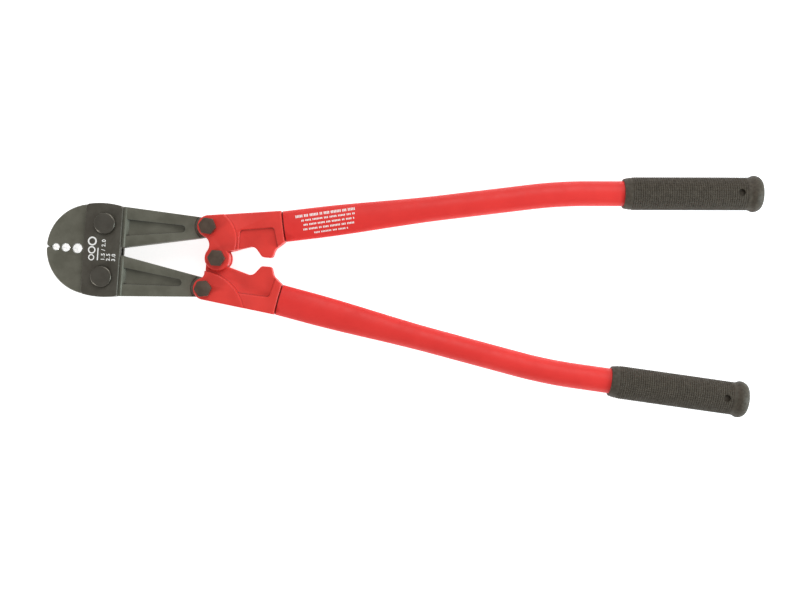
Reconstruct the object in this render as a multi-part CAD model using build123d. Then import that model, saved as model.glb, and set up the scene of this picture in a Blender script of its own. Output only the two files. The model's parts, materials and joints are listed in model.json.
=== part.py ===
"""Hand swaging tool: two jaws with three closed dies, worked by long handles through a compound linkage.

The parts are built about the tool's middle plane, +X from the centre pivot towards the grips,
+Y towards the upper handle, and are lifted at the end so that the nuts stand on Z = 0.
"""
from build123d import *
from math import atan2, cos, degrees, hypot, radians, sin, tan
import os

# Linkage, in the plane of the tool (mm); the lower half mirrors the upper one in the X axis
JAW_PIVOT = (-96.15, 22.5)
LINK_PIVOT = (-9.1, 26.65)
CENTRE_PIVOT = (0.0, 0.0)

# Thicknesses, each measured from the middle plane to the outer face
EYE_HALF = 5.6
ARM_HALF = 7.0
ARM_FLOOR_HALF = 3.5
BLOCK_HALF = 8.0
WEB_HALF = 5.6
RIM_HALF = 8.6
FORK_SIDE_GAP = 0.2
CHEEK_THICK = 5.35
SLOT_HALF = EYE_HALF + FORK_SIDE_GAP
FORK_HALF = SLOT_HALF + CHEEK_THICK
PLATE_SIDE_GAP = 0.15
PLATE_THICK = 5.0
PLATE_INNER = BLOCK_HALF + PLATE_SIDE_GAP
PLATE_OUTER = PLATE_INNER + PLATE_THICK

# Jaws
FACE_GAP = 0.05
NOSE_CENTRE_X = -107.4
NOSE_RADIUS = 38.6
TIP_ROUND = 2.4
BLOCK_END_X = -79.6
BLOCK_END_BEVEL = 1.0
ARM_ROOT_X = -80.6
ARM_ROOT_Y = 38.2
ARM_OUTER_END = (-14.0, 33.9)
V_START_X = -100.2
EYE_RADIUS = 8.6
SPOT_FACE_RADIUS = 12.5
JAW_EDGE_BEVEL = 0.7
POCKET_END = (-32.4, 23.0)
POCKET_END_RADIUS = 3.1
POCKET_ROOT_LOW_Y = 13.6
POCKET_RAMP_RUN = 1.6
POCKET_ROOT_HIGH_Y = 27.8
DIE_XS = (-137.8, -129.5, -119.6)
DIE_RADII = (2.6, 3.2, 3.8)
DIE_BEVEL = 0.6

# Side plates
PLATE_FRONT_X = -113.3
FRONT_PLATE_REAR_X = -81.9
BACK_PLATE_REAR_X = -84.3
PLATE_CORNER_Y = 38.0
PLATE_BULGE_Y = 39.9
PLATE_CORNER_ROUND = 3.0
PLATE_BEVEL = 0.7

# Jaw bolts: shouldered, with a round head, a thin nut and a washer
SHOULDER_RADIUS = 6.0
JAW_HEAD_RADIUS = 9.0
JAW_HEAD_THICK = 3.4
JAW_HEAD_ROUND = 1.2
JAW_THREAD_RADIUS = 5.0
JAW_NUT_FLATS = 16.0
JAW_NUT_THICK = 5.0
JAW_WASHER_RADIUS = 9.5
JAW_WASHER_THICK = 1.2
RUNNING_GAP = 0.05

# Link and centre bolts: M8 with 13 mm hexagons
BOLT_RADIUS = 4.0
BOLT_HOLE_RADIUS = 4.05
HEX_FLATS = 13.0
HEX_HEAD_THICK = 5.3
NUT_THICK = 6.8
WASHER_RADIUS = 7.8
WASHER_THICK = 1.6
BUSH_RADIUS = 5.6
BUSH_OFFSET = 0.4
BOLT_END_BEVEL = 0.6
THREAD_FIT = 0.02

# Handle heads
NOSE_FORK_RADIUS = 9.5
BOSS_RADIUS = 10.6
TONGUE_RADIUS = 10.1
TONGUE_HOLE_RADIUS = 6.4
SLOT_EYE_RADIUS = EYE_RADIUS + 1.0
SLOT_BOSS_RADIUS = 12.9
HEAD_ROUND = 1.2
WEB_ROUND = 1.0
WAIST_RADIUS = 8.0
NECK_WAIST_RADIUS = 5.0
NECK_LEFT_X = -9.9
SLOT_ROOT_X = 0.5
STOP_FACE_Y = 3.85
STOP_FRONT_X = 37.6
STOP_REAR_X = 46.3
HOLLOW_FRONT = (6.6, 5.8)
HOLLOW_DEEPEST = (30.2, 12.9)
HOLLOW_REAR = (48.5, 11.5)
RECESS_FRONT_X = 17.4
RECESS_FRONT_Y = 25.4
RECESS_REAR = (46.0, 29.8)
RECESS_LUG = (51.5, 10.4)
RECESS_CORNER = 2.5
UPPER_CHEEK_CENTRE = (-11.2, 15.2)
UPPER_CHEEK_RADIUS = 26.7
LOWER_CHEEK_CENTRE = (-12.6, 50.5)
LOWER_CHEEK_RADIUS = 39.1

# Tubes: flattened where they take the head's tenon, round from there to the grip
TUBE_START = (53.4, 31.3)
TUBE_SLOPE = 11.0
GRIP_SLOPE = 4.0
TUBE_WIDE = 26.6
TUBE_THIN = 16.0
TUBE_ROUND_RADIUS = 10.7
TUBE_WALL = 1.6
TUBE_FLAT_LENGTH = 28.0
TUBE_TAPER_LENGTH = 110.0
TAPER_STEPS = 5
TUBE_BEND_AT = 238.4
TUBE_BEND_RADIUS = 420.0
COLLAR_LENGTH = 6.0
TENON_LENGTH = 26.0

# Grips, along their own axis from the mouth
GRIP_FROM_BEND = 55.0
GRIP_LENGTH = 118.5
GRIP_MOUTH_RADIUS = 12.6
GRIP_RADIUS = 14.1
GRIP_FLARE_LENGTH = 10.0
FLANGE_RADIUS = 15.7
FLANGE_AT = 106.5
FLANGE_CREST = 111.5
GRIP_END_RADIUS = 10.0
TUBE_IN_GRIP = 90.0
GRIP_HOLE_AT = 98.5
GRIP_HOLE_RADIUS = 3.0
GRIP_HOLE_DEPTH = 3.0

# The nuts' outer faces are the plane that the tool lies on
MID_HEIGHT = FORK_HALF + WASHER_THICK + NUT_THICK


def prism(outline, low, high):
    """Solid with the outline's shape between two heights."""
    return extrude(Pos(0, 0, low) * outline, high - low)


def both_ways(outline, half):
    """Solid with the outline's shape, as thick above the middle plane as below it."""
    return prism(outline, -half, half)


def disc(centre, radius):
    """Round outline at a point of the plane."""
    return Pos(*centre) * Circle(radius)


def rectangle(low, high):
    """Upright rectangle between two corners."""
    size = (high[0] - low[0], high[1] - low[1])
    return Pos(*low) * Rectangle(*size, align=(Align.MIN, Align.MIN))


def polygon(points):
    """Closed outline with sharp corners."""
    return make_face(Polyline(*points, close=True))


def lower(shape):
    """The mirror image, on the tool's lower side."""
    return mirror(shape, about=Plane.XZ)


def step(start, angle, distance):
    """The point at a distance from a start, in the direction of an angle in degrees."""
    return (start[0] + distance * cos(radians(angle)), start[1] + distance * sin(radians(angle)))


def tangent_point(outside, centre, radius, side):
    """Where a line from an outside point touches a circle, on its +1 (left) or -1 (right) side."""
    run, rise = centre[0] - outside[0], centre[1] - outside[1]
    reach = hypot(run, rise)
    spread = atan2(radius, (reach**2 - radius**2) ** 0.5)
    heading = degrees(atan2(rise, run) + side * spread)
    return step(centre, heading + side * 90, radius)


# ---------------------------------------------------------------- jaws


def jaw_outline():
    """Nose, hub and tapering arm, as far as the eye."""
    nose = disc((NOSE_CENTRE_X, 0), NOSE_RADIUS) & rectangle((-160, FACE_GAP), (NOSE_CENTRE_X, 60))
    eye_touch = tangent_point((V_START_X, FACE_GAP), LINK_PIVOT, EYE_RADIUS, -1)
    body = polygon([
        (NOSE_CENTRE_X, FACE_GAP),
        (V_START_X, FACE_GAP),
        eye_touch,
        LINK_PIVOT,
        ARM_OUTER_END,
        (ARM_ROOT_X, ARM_ROOT_Y),
        (NOSE_CENTRE_X, NOSE_RADIUS),
    ])
    return nose + body + disc(LINK_PIVOT, EYE_RADIUS)


def arm_pocket():
    """Wedge between the arm's two ribs, rounded at the eye end."""
    high = tangent_point((BLOCK_END_X, POCKET_ROOT_HIGH_Y), POCKET_END, POCKET_END_RADIUS, 1)
    low = tangent_point((BLOCK_END_X, POCKET_ROOT_LOW_Y), POCKET_END, POCKET_END_RADIUS, -1)
    wedge = polygon([
        (BLOCK_END_X, POCKET_ROOT_LOW_Y),
        low,
        POCKET_END,
        high,
        (BLOCK_END_X, POCKET_ROOT_HIGH_Y),
    ])
    return wedge + disc(POCKET_END, POCKET_END_RADIUS)


def die_cutter(x, radius):
    """One die: a bore across the tool with a bevelled mouth on each side."""
    mouth = DIE_BEVEL + 0.2
    bore = Cylinder(radius, 2 * BLOCK_HALF + 2)
    cone = Cone(radius - 0.2, radius + DIE_BEVEL, mouth, align=(Align.CENTER, Align.CENTER, Align.MAX))
    top = Pos(0, 0, BLOCK_HALF) * cone
    return Pos(x, 0, 0) * (bore + top + mirror(top, about=Plane.XY))


def block_end_bevel():
    """Wedge that takes the hub's rear edge down at 45 degrees, above the arm."""
    low = BLOCK_HALF - BLOCK_END_BEVEL
    profile = Plane.XZ * polygon([
        (BLOCK_END_X - BLOCK_END_BEVEL, BLOCK_HALF),
        (BLOCK_END_X, low),
        (BLOCK_END_X + 1, low),
        (BLOCK_END_X + 1, BLOCK_HALF + 1),
        (BLOCK_END_X - BLOCK_END_BEVEL, BLOCK_HALF + 1),
    ])
    wedge = extrude(profile, -60)
    return wedge + mirror(wedge, about=Plane.XY)


def pocket_ramp():
    """Steep end wall of the arm's pocket, from the arm's face down to the pocket's floor."""
    profile = Plane.XZ * polygon([
        (BLOCK_END_X, ARM_FLOOR_HALF),
        (BLOCK_END_X + POCKET_RAMP_RUN, ARM_FLOOR_HALF),
        (BLOCK_END_X, BLOCK_HALF - BLOCK_END_BEVEL),
    ])
    return extrude(profile, -60)


def jaw():
    """Upper jaw: die block, hub, ribbed arm and thinner eye."""
    whole = jaw_outline()
    block = both_ways(whole & rectangle((-160, 0), (BLOCK_END_X, 60)), BLOCK_HALF) - block_end_bevel()
    arm_area = whole & rectangle((BLOCK_END_X - 2, 0), (40, 60))
    arm = both_ways(arm_area - disc(LINK_PIVOT, SPOT_FACE_RADIUS), ARM_HALF)
    eye = both_ways(arm_area & disc(LINK_PIVOT, SPOT_FACE_RADIUS + 1), EYE_HALF)
    body = block + arm + eye
    pocket = prism(arm_pocket(), ARM_FLOOR_HALF, BLOCK_HALF) - pocket_ramp()
    body -= pocket + mirror(pocket, about=Plane.XY)
    body -= both_ways(disc(JAW_PIVOT, SHOULDER_RADIUS + RUNNING_GAP), BLOCK_HALF + 1)
    body -= both_ways(disc(LINK_PIVOT, BUSH_RADIUS + RUNNING_GAP), BLOCK_HALF + 1)
    tip = body.edges().filter_by(Axis.Z).sort_by(Axis.X)[0]
    body = fillet(tip, TIP_ROUND)
    rim = body.edges().filter_by(GeomType.CIRCLE).filter_by(
        lambda edge: abs(edge.radius - NOSE_RADIUS) < 0.1
    )
    body = chamfer(rim, JAW_EDGE_BEVEL)
    for x, radius in zip(DIE_XS, DIE_RADII):
        body -= die_cutter(x, radius)
    return body


# ---------------------------------------------------------------- side plates and jaw bolts


def side_plate(rear_x):
    """Plate in front of the jaws, up to a given X: spans both jaws, its ends bowed outwards."""
    middle_x = (PLATE_FRONT_X + rear_x) / 2
    upper_left = (PLATE_FRONT_X, PLATE_CORNER_Y)
    upper_right = (rear_x, PLATE_CORNER_Y)
    lower_left = (PLATE_FRONT_X, -PLATE_CORNER_Y)
    lower_right = (rear_x, -PLATE_CORNER_Y)
    edge = Curve() + [
        Line(lower_left, upper_left),
        ThreePointArc(upper_left, (middle_x, PLATE_BULGE_Y), upper_right),
        Line(upper_right, lower_right),
        ThreePointArc(lower_right, (middle_x, -PLATE_BULGE_Y), lower_left),
    ]
    plate = prism(make_face(edge), PLATE_INNER, PLATE_OUTER)
    plate = fillet(plate.edges().filter_by(Axis.Z), PLATE_CORNER_ROUND)
    plate = chamfer(plate.faces().sort_by(Axis.Z)[-1].outer_wire().edges(), PLATE_BEVEL)
    for side in (1, -1):
        hole = disc((JAW_PIVOT[0], side * JAW_PIVOT[1]), SHOULDER_RADIUS)
        plate -= prism(hole, PLATE_INNER - 1, PLATE_OUTER + 1)
    return plate


def jaw_bolt():
    """Shouldered bolt: the jaw turns on the shoulder and the thread takes the nut."""
    end = -(PLATE_OUTER + JAW_WASHER_THICK + JAW_NUT_THICK)
    head = prism(disc(JAW_PIVOT, JAW_HEAD_RADIUS), PLATE_OUTER, PLATE_OUTER + JAW_HEAD_THICK)
    head = fillet(head.edges().sort_by(Axis.Z)[-1], JAW_HEAD_ROUND)
    shoulder = prism(disc(JAW_PIVOT, SHOULDER_RADIUS), -PLATE_OUTER, PLATE_OUTER)
    thread = prism(disc(JAW_PIVOT, JAW_THREAD_RADIUS), end, -PLATE_OUTER)
    thread = chamfer(thread.edges().sort_by(Axis.Z)[0], BOLT_END_BEVEL)
    return head + shoulder + thread


def washer(centre, top, thick, radius, hole_radius):
    """Plain washer hanging from a face."""
    return prism(disc(centre, radius) - disc(centre, hole_radius), top - thick, top)


def hexagon(centre, flats, turn):
    """Hexagonal outline by its distance across flats, turned by an angle in degrees."""
    return Pos(*centre) * Rot(0, 0, turn) * RegularPolygon(flats / 2, 6, major_radius=False)


def corner_rounding(centre, flats, low, high):
    """Turned blank whose bevelled ends round a hexagon's corners off."""
    blank = prism(disc(centre, flats * 0.575), low, high)
    return chamfer(blank.edges().filter_by(GeomType.CIRCLE), flats * 0.06, flats * 0.035)


def hex_nut(centre, flats, turn, top, thick, hole_radius):
    """Hexagonal nut hanging from a face."""
    body = prism(hexagon(centre, flats, turn), top - thick, top)
    body &= corner_rounding(centre, flats, top - thick, top)
    return body - prism(disc(centre, hole_radius), top - thick - 1, top + 1)


# ---------------------------------------------------------------- link bolts and bushes


def link_bolt(centre, turn):
    """Hexagon bolt through the whole fork, its end flush with the nut."""
    top = FORK_HALF + HEX_HEAD_THICK
    head = prism(hexagon(centre, HEX_FLATS, turn), FORK_HALF, top)
    head &= corner_rounding(centre, HEX_FLATS, FORK_HALF, top)
    shank = prism(disc(centre, BOLT_RADIUS), -MID_HEIGHT, FORK_HALF)
    shank = chamfer(shank.edges().sort_by(Axis.Z)[0], BOLT_END_BEVEL)
    return head + shank


def link_nut(centre, turn):
    """Nut of a link bolt or of the centre bolt."""
    top = -FORK_HALF - WASHER_THICK
    return hex_nut(centre, HEX_FLATS, turn, top, NUT_THICK, BOLT_RADIUS + THREAD_FIT)


def link_washer(centre):
    """Washer under a link nut or the centre nut."""
    return washer(centre, -FORK_HALF, WASHER_THICK, WASHER_RADIUS, BOLT_HOLE_RADIUS)


def link_bolt_centre():
    """The link bolt's axis: the adjusting bush holds it beside the jaw eye's axis."""
    return (LINK_PIVOT[0] - BUSH_OFFSET, LINK_PIVOT[1])


def adjusting_bush():
    """Eccentric bush: the jaw's eye turns on it, and turning it in the fork sets the die closure."""
    ring = disc(LINK_PIVOT, BUSH_RADIUS) - disc(link_bolt_centre(), BOLT_HOLE_RADIUS)
    return both_ways(ring, SLOT_HALF)


# ---------------------------------------------------------------- handle heads


def across_tube(distance):
    """A point on the tube's front end, at a distance from its axis."""
    return step(TUBE_START, TUBE_SLOPE + 90, distance)


def head_body_outline():
    """Body from the fork to the collar, with the hollow and the stop lug on its inner side."""
    inner_corner = across_tube(-TUBE_WIDE / 2)
    hollow = FilletPolyline(
        inner_corner,
        HOLLOW_REAR,
        (STOP_REAR_X, STOP_FACE_Y),
        (STOP_FRONT_X, STOP_FACE_Y),
        HOLLOW_DEEPEST,
        HOLLOW_FRONT,
        radius=[8.0, 2.4, 3.2, 6.0],
    )
    outer_corner = across_tube(TUBE_WIDE / 2)
    nose_touch = tangent_point(outer_corner, LINK_PIVOT, NOSE_FORK_RADIUS, -1)
    rest = Polyline(HOLLOW_FRONT, CENTRE_PIVOT, LINK_PIVOT, nose_touch, outer_corner, inner_corner)
    return make_face(Curve() + [hollow, rest])


def upper_head_outline():
    """Body, fork nose, centre boss and the waist between them."""
    axis_angle = degrees(atan2(-LINK_PIVOT[1], -LINK_PIVOT[0]))
    reach = hypot(*LINK_PIVOT)
    to_nose = NOSE_FORK_RADIUS + WAIST_RADIUS
    to_boss = BOSS_RADIUS + WAIST_RADIUS
    along = (reach**2 + to_nose**2 - to_boss**2) / (2 * reach)
    aside = (to_nose**2 - along**2) ** 0.5
    waist = step(step(LINK_PIVOT, axis_angle, along), axis_angle - 90, aside)
    blend = polygon([LINK_PIVOT, waist, CENTRE_PIVOT]) - disc(waist, WAIST_RADIUS)
    boss = Rot(0, 0, 90) * disc(CENTRE_PIVOT, BOSS_RADIUS)
    ends = disc(LINK_PIVOT, NOSE_FORK_RADIUS) + boss
    return head_body_outline() + ends + blend


def lower_head_outline():
    """Body, fork nose, tongue and the neck between them."""
    to_nose = NOSE_FORK_RADIUS + NECK_WAIST_RADIUS
    waist_x = NECK_LEFT_X - NECK_WAIST_RADIUS
    waist = (waist_x, LINK_PIVOT[1] - (to_nose**2 - (waist_x - LINK_PIVOT[0]) ** 2) ** 0.5)
    neck = polygon([CENTRE_PIVOT, (NECK_LEFT_X, 0), (NECK_LEFT_X, waist[1]), waist, LINK_PIVOT])
    neck -= disc(waist, NECK_WAIST_RADIUS)
    tongue = Rot(0, 0, 90) * disc(CENTRE_PIVOT, TONGUE_RADIUS)
    ends = disc(LINK_PIVOT, NOSE_FORK_RADIUS) + tongue
    return head_body_outline() + ends + neck


def flank_recess(front_x):
    """Recess in the head's flank, open towards the inner edge, from a front limit to the collar."""
    edge = FilletPolyline(
        (front_x, -30), (front_x, RECESS_FRONT_Y), RECESS_REAR, RECESS_LUG, radius=RECESS_CORNER
    )
    rest = Polyline(RECESS_LUG, (RECESS_LUG[0], -30), (front_x, -30))
    return make_face(Curve() + [edge, rest])


def cast(outline, half, edge_round):
    """Slab with rounded edges on both faces, as a casting has."""
    slab = both_ways(outline, half)
    edges = slab.edges().filter_by(Axis.Z, reverse=True).filter_by(
        lambda edge: abs(abs(edge.center().Z) - half) < 0.01
    )
    return fillet(edges, edge_round)


def collar_and_tenon():
    """Oval collar that meets the tube's end, and the tenon inside the tube."""
    end = tube_plane(0)
    inner = end * Ellipse(TUBE_WIDE / 2 - TUBE_WALL, TUBE_THIN / 2 - TUBE_WALL)
    collar = extrude(end * Ellipse(TUBE_WIDE / 2, TUBE_THIN / 2), -COLLAR_LENGTH)
    return collar + extrude(inner, TENON_LENGTH)


def head(outline, cheek, recess, slot):
    """Handle head: thin web, thicker rim and collar, and the fork's cheeks on top."""
    body = cast(outline, WEB_HALF, WEB_ROUND)
    body += cast(outline - recess, RIM_HALF, HEAD_ROUND)
    body += cast(outline & cheek, FORK_HALF, HEAD_ROUND)
    body += collar_and_tenon()
    body -= both_ways(slot, SLOT_HALF)
    return body - both_ways(disc(link_bolt_centre(), BOLT_HOLE_RADIUS), FORK_HALF + 1)


def upper_head():
    """Head whose fork straddles both the jaw's eye and the other head's tongue."""
    slot = rectangle((-60, -30), (SLOT_ROOT_X, 60)) + disc(CENTRE_PIVOT, SLOT_BOSS_RADIUS)
    cheek = disc(UPPER_CHEEK_CENTRE, UPPER_CHEEK_RADIUS) + disc(CENTRE_PIVOT, BOSS_RADIUS)
    body = head(upper_head_outline(), cheek, flank_recess(RECESS_FRONT_X), slot)
    return body - both_ways(disc(CENTRE_PIVOT, BOLT_HOLE_RADIUS), FORK_HALF + 1)


def lower_head():
    """Head with a fork for the jaw's eye and a tongue for the centre pivot, drawn on the upper side."""
    slot = disc(LINK_PIVOT, SLOT_EYE_RADIUS)
    slot += rectangle((-60, LINK_PIVOT[1] - SLOT_EYE_RADIUS), (LINK_PIVOT[0], 60))
    slot += rectangle((-60, LINK_PIVOT[1]), (SLOT_ROOT_X, 60))
    cheek = disc(LOWER_CHEEK_CENTRE, LOWER_CHEEK_RADIUS)
    body = head(lower_head_outline(), cheek, flank_recess(-30), slot)
    return body - both_ways(disc(CENTRE_PIVOT, TONGUE_HOLE_RADIUS), FORK_HALF + 1)


# ---------------------------------------------------------------- tubes and grips


def tube_plane(distance):
    """Plane across the tube's straight front run; its x direction lies in the tool's plane."""
    origin = step(TUBE_START, TUBE_SLOPE, distance)
    heading = radians(TUBE_SLOPE)
    return Plane((*origin, 0), x_dir=(-sin(heading), cos(heading), 0), z_dir=(cos(heading), sin(heading), 0))


def taper_section(share, shrink):
    """Tube section part of the way from oval (0) to round (1), eased at both ends."""
    ease = share * share * (3 - 2 * share)
    wide = TUBE_WIDE / 2 + (TUBE_ROUND_RADIUS - TUBE_WIDE / 2) * ease
    thin = TUBE_THIN / 2 + (TUBE_ROUND_RADIUS - TUBE_THIN / 2) * ease
    plane = tube_plane(TUBE_FLAT_LENGTH + share * TUBE_TAPER_LENGTH)
    return plane * Ellipse(wide - shrink, thin - shrink)


def bend_point():
    """Where the straight runs of the tube's axis would cross."""
    return step(TUBE_START, TUBE_SLOPE, TUBE_BEND_AT)


def tube_body(shrink):
    """The tube's solid shape, inset by a wall's thickness or by nothing."""
    flat = extrude(taper_section(0, shrink), -TUBE_FLAT_LENGTH)
    taper = loft([taper_section(count / TAPER_STEPS, shrink) for count in range(TAPER_STEPS + 1)])
    start = step(TUBE_START, TUBE_SLOPE, TUBE_FLAT_LENGTH + TUBE_TAPER_LENGTH)
    end = step(bend_point(), GRIP_SLOPE, GRIP_FROM_BEND + TUBE_IN_GRIP)
    path = FilletPolyline(start, bend_point(), end, radius=TUBE_BEND_RADIUS)
    section = tube_plane(TUBE_FLAT_LENGTH + TUBE_TAPER_LENGTH) * Circle(TUBE_ROUND_RADIUS - shrink)
    return flat + taper + sweep(section, path=path)


def tube():
    """Upper handle tube."""
    return tube_body(0) - tube_body(TUBE_WALL)


def grip():
    """Upper grip: flared mouth, long body, rounded end flange and a shallow blind hole."""
    profile = Curve() + [
        Line((TUBE_IN_GRIP, 0), (TUBE_IN_GRIP, TUBE_ROUND_RADIUS)),
        Line((TUBE_IN_GRIP, TUBE_ROUND_RADIUS), (0, TUBE_ROUND_RADIUS)),
        Line((0, TUBE_ROUND_RADIUS), (0, GRIP_MOUTH_RADIUS)),
        Spline(
            (0, GRIP_MOUTH_RADIUS), (GRIP_FLARE_LENGTH, GRIP_RADIUS), tangents=[(1, 0.35), (1, 0)]
        ),
        Line((GRIP_FLARE_LENGTH, GRIP_RADIUS), (FLANGE_AT, GRIP_RADIUS)),
        Spline(
            (FLANGE_AT, GRIP_RADIUS), (FLANGE_CREST, FLANGE_RADIUS), tangents=[(1, 0), (1, 0)]
        ),
        Spline(
            (FLANGE_CREST, FLANGE_RADIUS), (GRIP_LENGTH, GRIP_END_RADIUS), tangents=[(1, 0), (0, -1)]
        ),
        Line((GRIP_LENGTH, GRIP_END_RADIUS), (GRIP_LENGTH, 0)),
        Line((GRIP_LENGTH, 0), (TUBE_IN_GRIP, 0)),
    ]
    body = revolve(make_face(profile), Axis.X)
    hole = Pos(GRIP_HOLE_AT, 0, GRIP_RADIUS) * Cylinder(GRIP_HOLE_RADIUS, 2 * GRIP_HOLE_DEPTH)
    mouth = step(bend_point(), GRIP_SLOPE, GRIP_FROM_BEND)
    return Pos(*mouth) * Rot(0, 0, GRIP_SLOPE) * (body - hole)


# ---------------------------------------------------------------- the pieces, by name


def pieces():
    """Every piece in its place, by the name of its node."""
    link = link_bolt_centre()
    lower_link = (link[0], -link[1])
    lower_pivot = (JAW_PIVOT[0], -JAW_PIVOT[1])
    nut_top = -PLATE_OUTER - JAW_WASHER_THICK
    nut_size = (nut_top, JAW_NUT_THICK, JAW_THREAD_RADIUS + THREAD_FIT)
    made = {
        "front_side_plate": side_plate(FRONT_PLATE_REAR_X),
        "back_side_plate": mirror(side_plate(BACK_PLATE_REAR_X), about=Plane.XY),
        "upper_jaw": jaw(),
        "upper_jaw_bolt": jaw_bolt(),
        "upper_jaw_washer": washer(
            JAW_PIVOT, -PLATE_OUTER, JAW_WASHER_THICK, JAW_WASHER_RADIUS, JAW_THREAD_RADIUS
        ),
        "upper_jaw_nut": hex_nut(JAW_PIVOT, JAW_NUT_FLATS, 12, *nut_size),
        "lower_jaw_nut": hex_nut(lower_pivot, JAW_NUT_FLATS, 40, *nut_size),
        "upper_handle_head": upper_head(),
        "lower_handle_head": lower(lower_head()),
        "upper_adjusting_bush": adjusting_bush(),
        "upper_handle_tube": tube(),
        "upper_grip": grip(),
        "upper_link_bolt": link_bolt(link, -5),
        "upper_link_washer": link_washer(link),
        "upper_link_nut": link_nut(link, 20),
        "lower_link_bolt": link_bolt(lower_link, 10),
        "lower_link_nut": link_nut(lower_link, 48),
        "centre_bolt": link_bolt(CENTRE_PIVOT, 0),
        "centre_washer": link_washer(CENTRE_PIVOT),
        "centre_nut": link_nut(CENTRE_PIVOT, 33),
    }
    for name in ("jaw", "jaw_bolt", "jaw_washer", "adjusting_bush", "handle_tube", "grip", "link_washer"):
        made["lower_" + name] = lower(made["upper_" + name])
    return made


os.makedirs("parts", exist_ok=True)
for node, shape in pieces().items():
    export_step(Pos(0, 0, MID_HEIGHT) * shape, f"parts/{node}.step")
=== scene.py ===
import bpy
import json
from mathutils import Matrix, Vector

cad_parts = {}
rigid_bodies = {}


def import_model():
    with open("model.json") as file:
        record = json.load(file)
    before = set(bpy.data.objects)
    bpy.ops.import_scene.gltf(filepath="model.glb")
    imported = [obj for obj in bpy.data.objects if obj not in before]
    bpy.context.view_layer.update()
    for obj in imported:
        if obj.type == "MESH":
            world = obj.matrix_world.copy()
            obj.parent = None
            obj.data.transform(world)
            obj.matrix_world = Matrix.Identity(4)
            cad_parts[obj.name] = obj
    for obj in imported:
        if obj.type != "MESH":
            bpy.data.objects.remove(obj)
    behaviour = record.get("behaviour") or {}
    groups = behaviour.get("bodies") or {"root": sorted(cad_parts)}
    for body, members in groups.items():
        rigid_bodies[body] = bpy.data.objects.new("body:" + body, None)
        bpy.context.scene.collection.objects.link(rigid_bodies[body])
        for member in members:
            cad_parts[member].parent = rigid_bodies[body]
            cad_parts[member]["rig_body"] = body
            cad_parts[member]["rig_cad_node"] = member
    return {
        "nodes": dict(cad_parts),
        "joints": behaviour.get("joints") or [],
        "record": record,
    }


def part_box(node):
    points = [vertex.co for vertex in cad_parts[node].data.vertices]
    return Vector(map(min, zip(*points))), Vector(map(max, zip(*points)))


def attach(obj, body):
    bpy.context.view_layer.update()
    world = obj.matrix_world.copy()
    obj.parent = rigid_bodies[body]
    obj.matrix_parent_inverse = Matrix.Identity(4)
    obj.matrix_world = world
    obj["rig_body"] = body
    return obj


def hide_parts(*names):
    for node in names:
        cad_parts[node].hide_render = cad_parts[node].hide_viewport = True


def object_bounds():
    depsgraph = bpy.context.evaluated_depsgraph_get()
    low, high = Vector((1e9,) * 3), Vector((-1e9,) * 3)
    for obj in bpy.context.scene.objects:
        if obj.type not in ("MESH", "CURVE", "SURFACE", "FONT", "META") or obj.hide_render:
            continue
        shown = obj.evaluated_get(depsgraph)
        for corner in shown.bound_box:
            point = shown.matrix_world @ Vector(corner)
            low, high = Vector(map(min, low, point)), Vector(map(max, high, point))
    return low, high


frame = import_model()
CAD_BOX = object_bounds()

"""Looks of a hand swaging tool: forged jaws, side plates, cast heads, painted tubes and grips.

Lengths are in metres, in the tool's own frame: +X is towards the grips, +Y is towards the
upper handle and +Z is up.
"""
import json
import logging
from collections.abc import Callable, Iterator, Sequence
from contextlib import contextmanager
from dataclasses import dataclass
from enum import Enum
from math import cos, pi, radians, sin, tan

import bpy
from mathutils import Matrix, Vector

log = logging.getLogger("swaging_tool")
MM = 0.001
PIVOTS = {joint["name"]: joint["pos_m"] for joint in frame["joints"]}
MID_HEIGHT = PIVOTS["upper_handle_pivot"][2]
DIES = [mount for mount in frame["record"]["mounts"] if mount["kind"] == "clamp"]
MERGE_DISTANCE = 0.002 * MM
FLAT_ANGLE = 0.3
SHARP_ANGLE = 35.0
RING_SLACK = 0.1 * MM
Colour = tuple[float, float, float]
Ring = tuple[float, float, float]
Piece = bpy.types.Object
Material = bpy.types.Material
Socket = bpy.types.NodeSocket


class Side(Enum):
    """The two mirrored halves of the tool."""

    UPPER = 1
    LOWER = -1

    @property
    def word(self) -> str:
        """Prefix of the half's node and body names."""
        return self.name.lower()


# --- modelling helpers


def select_nothing() -> None:
    """Deselect every object, so that the next operator acts on the new one alone."""
    bpy.ops.object.select_all(action="DESELECT")


def select_only(piece: Piece) -> None:
    """Make one object the selected and active one, and nothing else.

    Args:
        piece: the object that the next operators act on.
    """
    select_nothing()
    piece.select_set(True)
    bpy.context.view_layer.objects.active = piece


@contextmanager
def editing(piece: Piece, selection: str = "DESELECT") -> Iterator[None]:
    """Edit mode with face selection on one piece, for the length of a with block.

    Args:
        piece: the mesh object to edit.
        selection: DESELECT or SELECT, what is selected at the start.

    Yields:
        Nothing, with the piece in edit mode.
    """
    select_only(piece)
    bpy.ops.object.mode_set(mode="EDIT")
    bpy.ops.mesh.select_mode(type="FACE")
    bpy.ops.mesh.select_all(action=selection)
    try:
        yield
    finally:
        bpy.ops.object.mode_set(mode="OBJECT")


def pick_vertices(piece: Piece, wanted: Callable[[Vector], bool]) -> None:
    """Select the vertices whose place passes a test, from inside an editing block.

    Args:
        piece: the mesh object in edit mode.
        wanted: test of a vertex's coordinates.
    """
    bpy.ops.object.mode_set(mode="OBJECT")
    for vertex in piece.data.vertices:
        vertex.select = wanted(vertex.co)
    bpy.ops.object.mode_set(mode="EDIT")
    bpy.ops.mesh.select_mode(type="VERT")


def apply_place(piece: Piece) -> None:
    """Move an object's place, turn and size into its mesh.

    Args:
        piece: the object to settle at the origin.
    """
    select_only(piece)
    bpy.ops.object.transform_apply(location=True, rotation=True, scale=True)


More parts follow.
